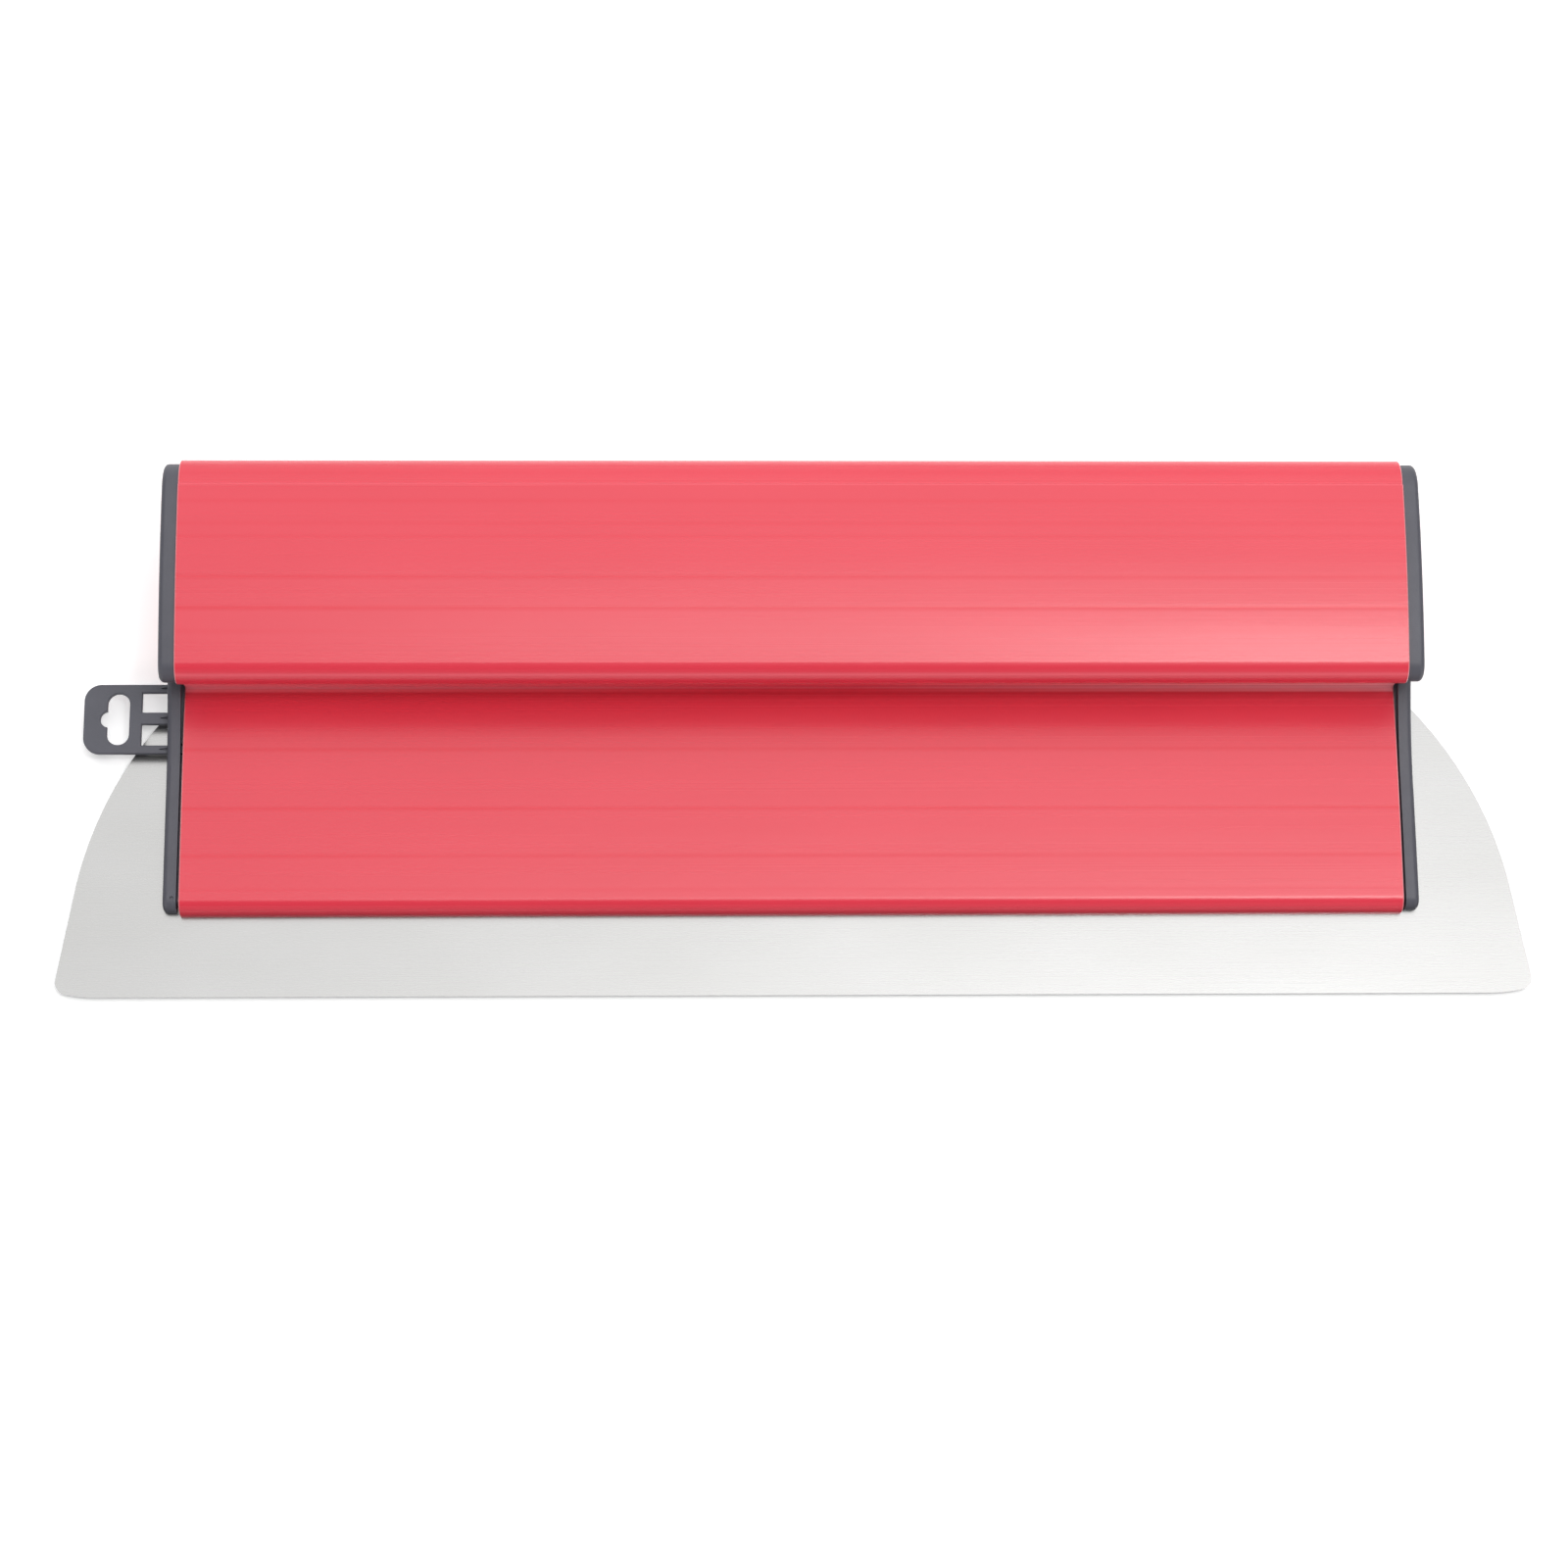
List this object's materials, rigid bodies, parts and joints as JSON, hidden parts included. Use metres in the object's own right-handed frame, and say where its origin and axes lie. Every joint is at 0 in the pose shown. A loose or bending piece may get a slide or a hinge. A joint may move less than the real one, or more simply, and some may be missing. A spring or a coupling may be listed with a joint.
{
  "type": "skimming trowel",
  "caption": "Wide thin blade clamped flat to the back of a hollow wave-section handle, with moulded end caps and a plug-in hanging tag.",
  "frame": {"origin": "middle of the handle's length, 72 mm from the blade's working edge and 71 mm from the top of the grip bar, on the surface that the tool lies on, at the clamp strip's back face; the blade sits 0.9 mm to the right of it", "axes": "+X along the blade and handle, +Y from the blade's working edge to the top of the grip bar, +Z from the back to the front of the tool"},
  "size_m": [0.4, 0.143, 0.0381],
  "materials": {
    "red_handle": "satin",
    "blade_steel": "satin",
    "clamp_aluminium": "satin",
    "cap_plastic": "satin",
    "tag_plastic": "matte",
    "screw_steel": "satin"
  },
  "bodies": {
    "trowel": {"handle_profile": "red_handle", "blade": "blade_steel", "blade_clamp_strip": "clamp_aluminium", "blade_screw_1": "screw_steel", "blade_screw_2": "screw_steel", "blade_screw_3": "screw_steel", "blade_screw_4": "screw_steel", "blade_screw_5": "screw_steel", "blade_screw_6": "screw_steel", "blade_screw_7": "screw_steel", "blade_screw_8": "screw_steel", "end_cap_left": "cap_plastic", "end_cap_right": "cap_plastic", "cap_screw_left_1": "screw_steel", "cap_screw_left_2": "screw_steel", "cap_screw_right_1": "screw_steel", "cap_screw_right_2": "screw_steel"},
    "tag": {"hang_tag": "tag_plastic"}
  },
  "joints": [
    {"name": "tag_pull", "type": "slide", "parent": "trowel", "child": "tag", "axis": [-1, 0, 0], "range_m": [0, 0.009]}
  ]
}
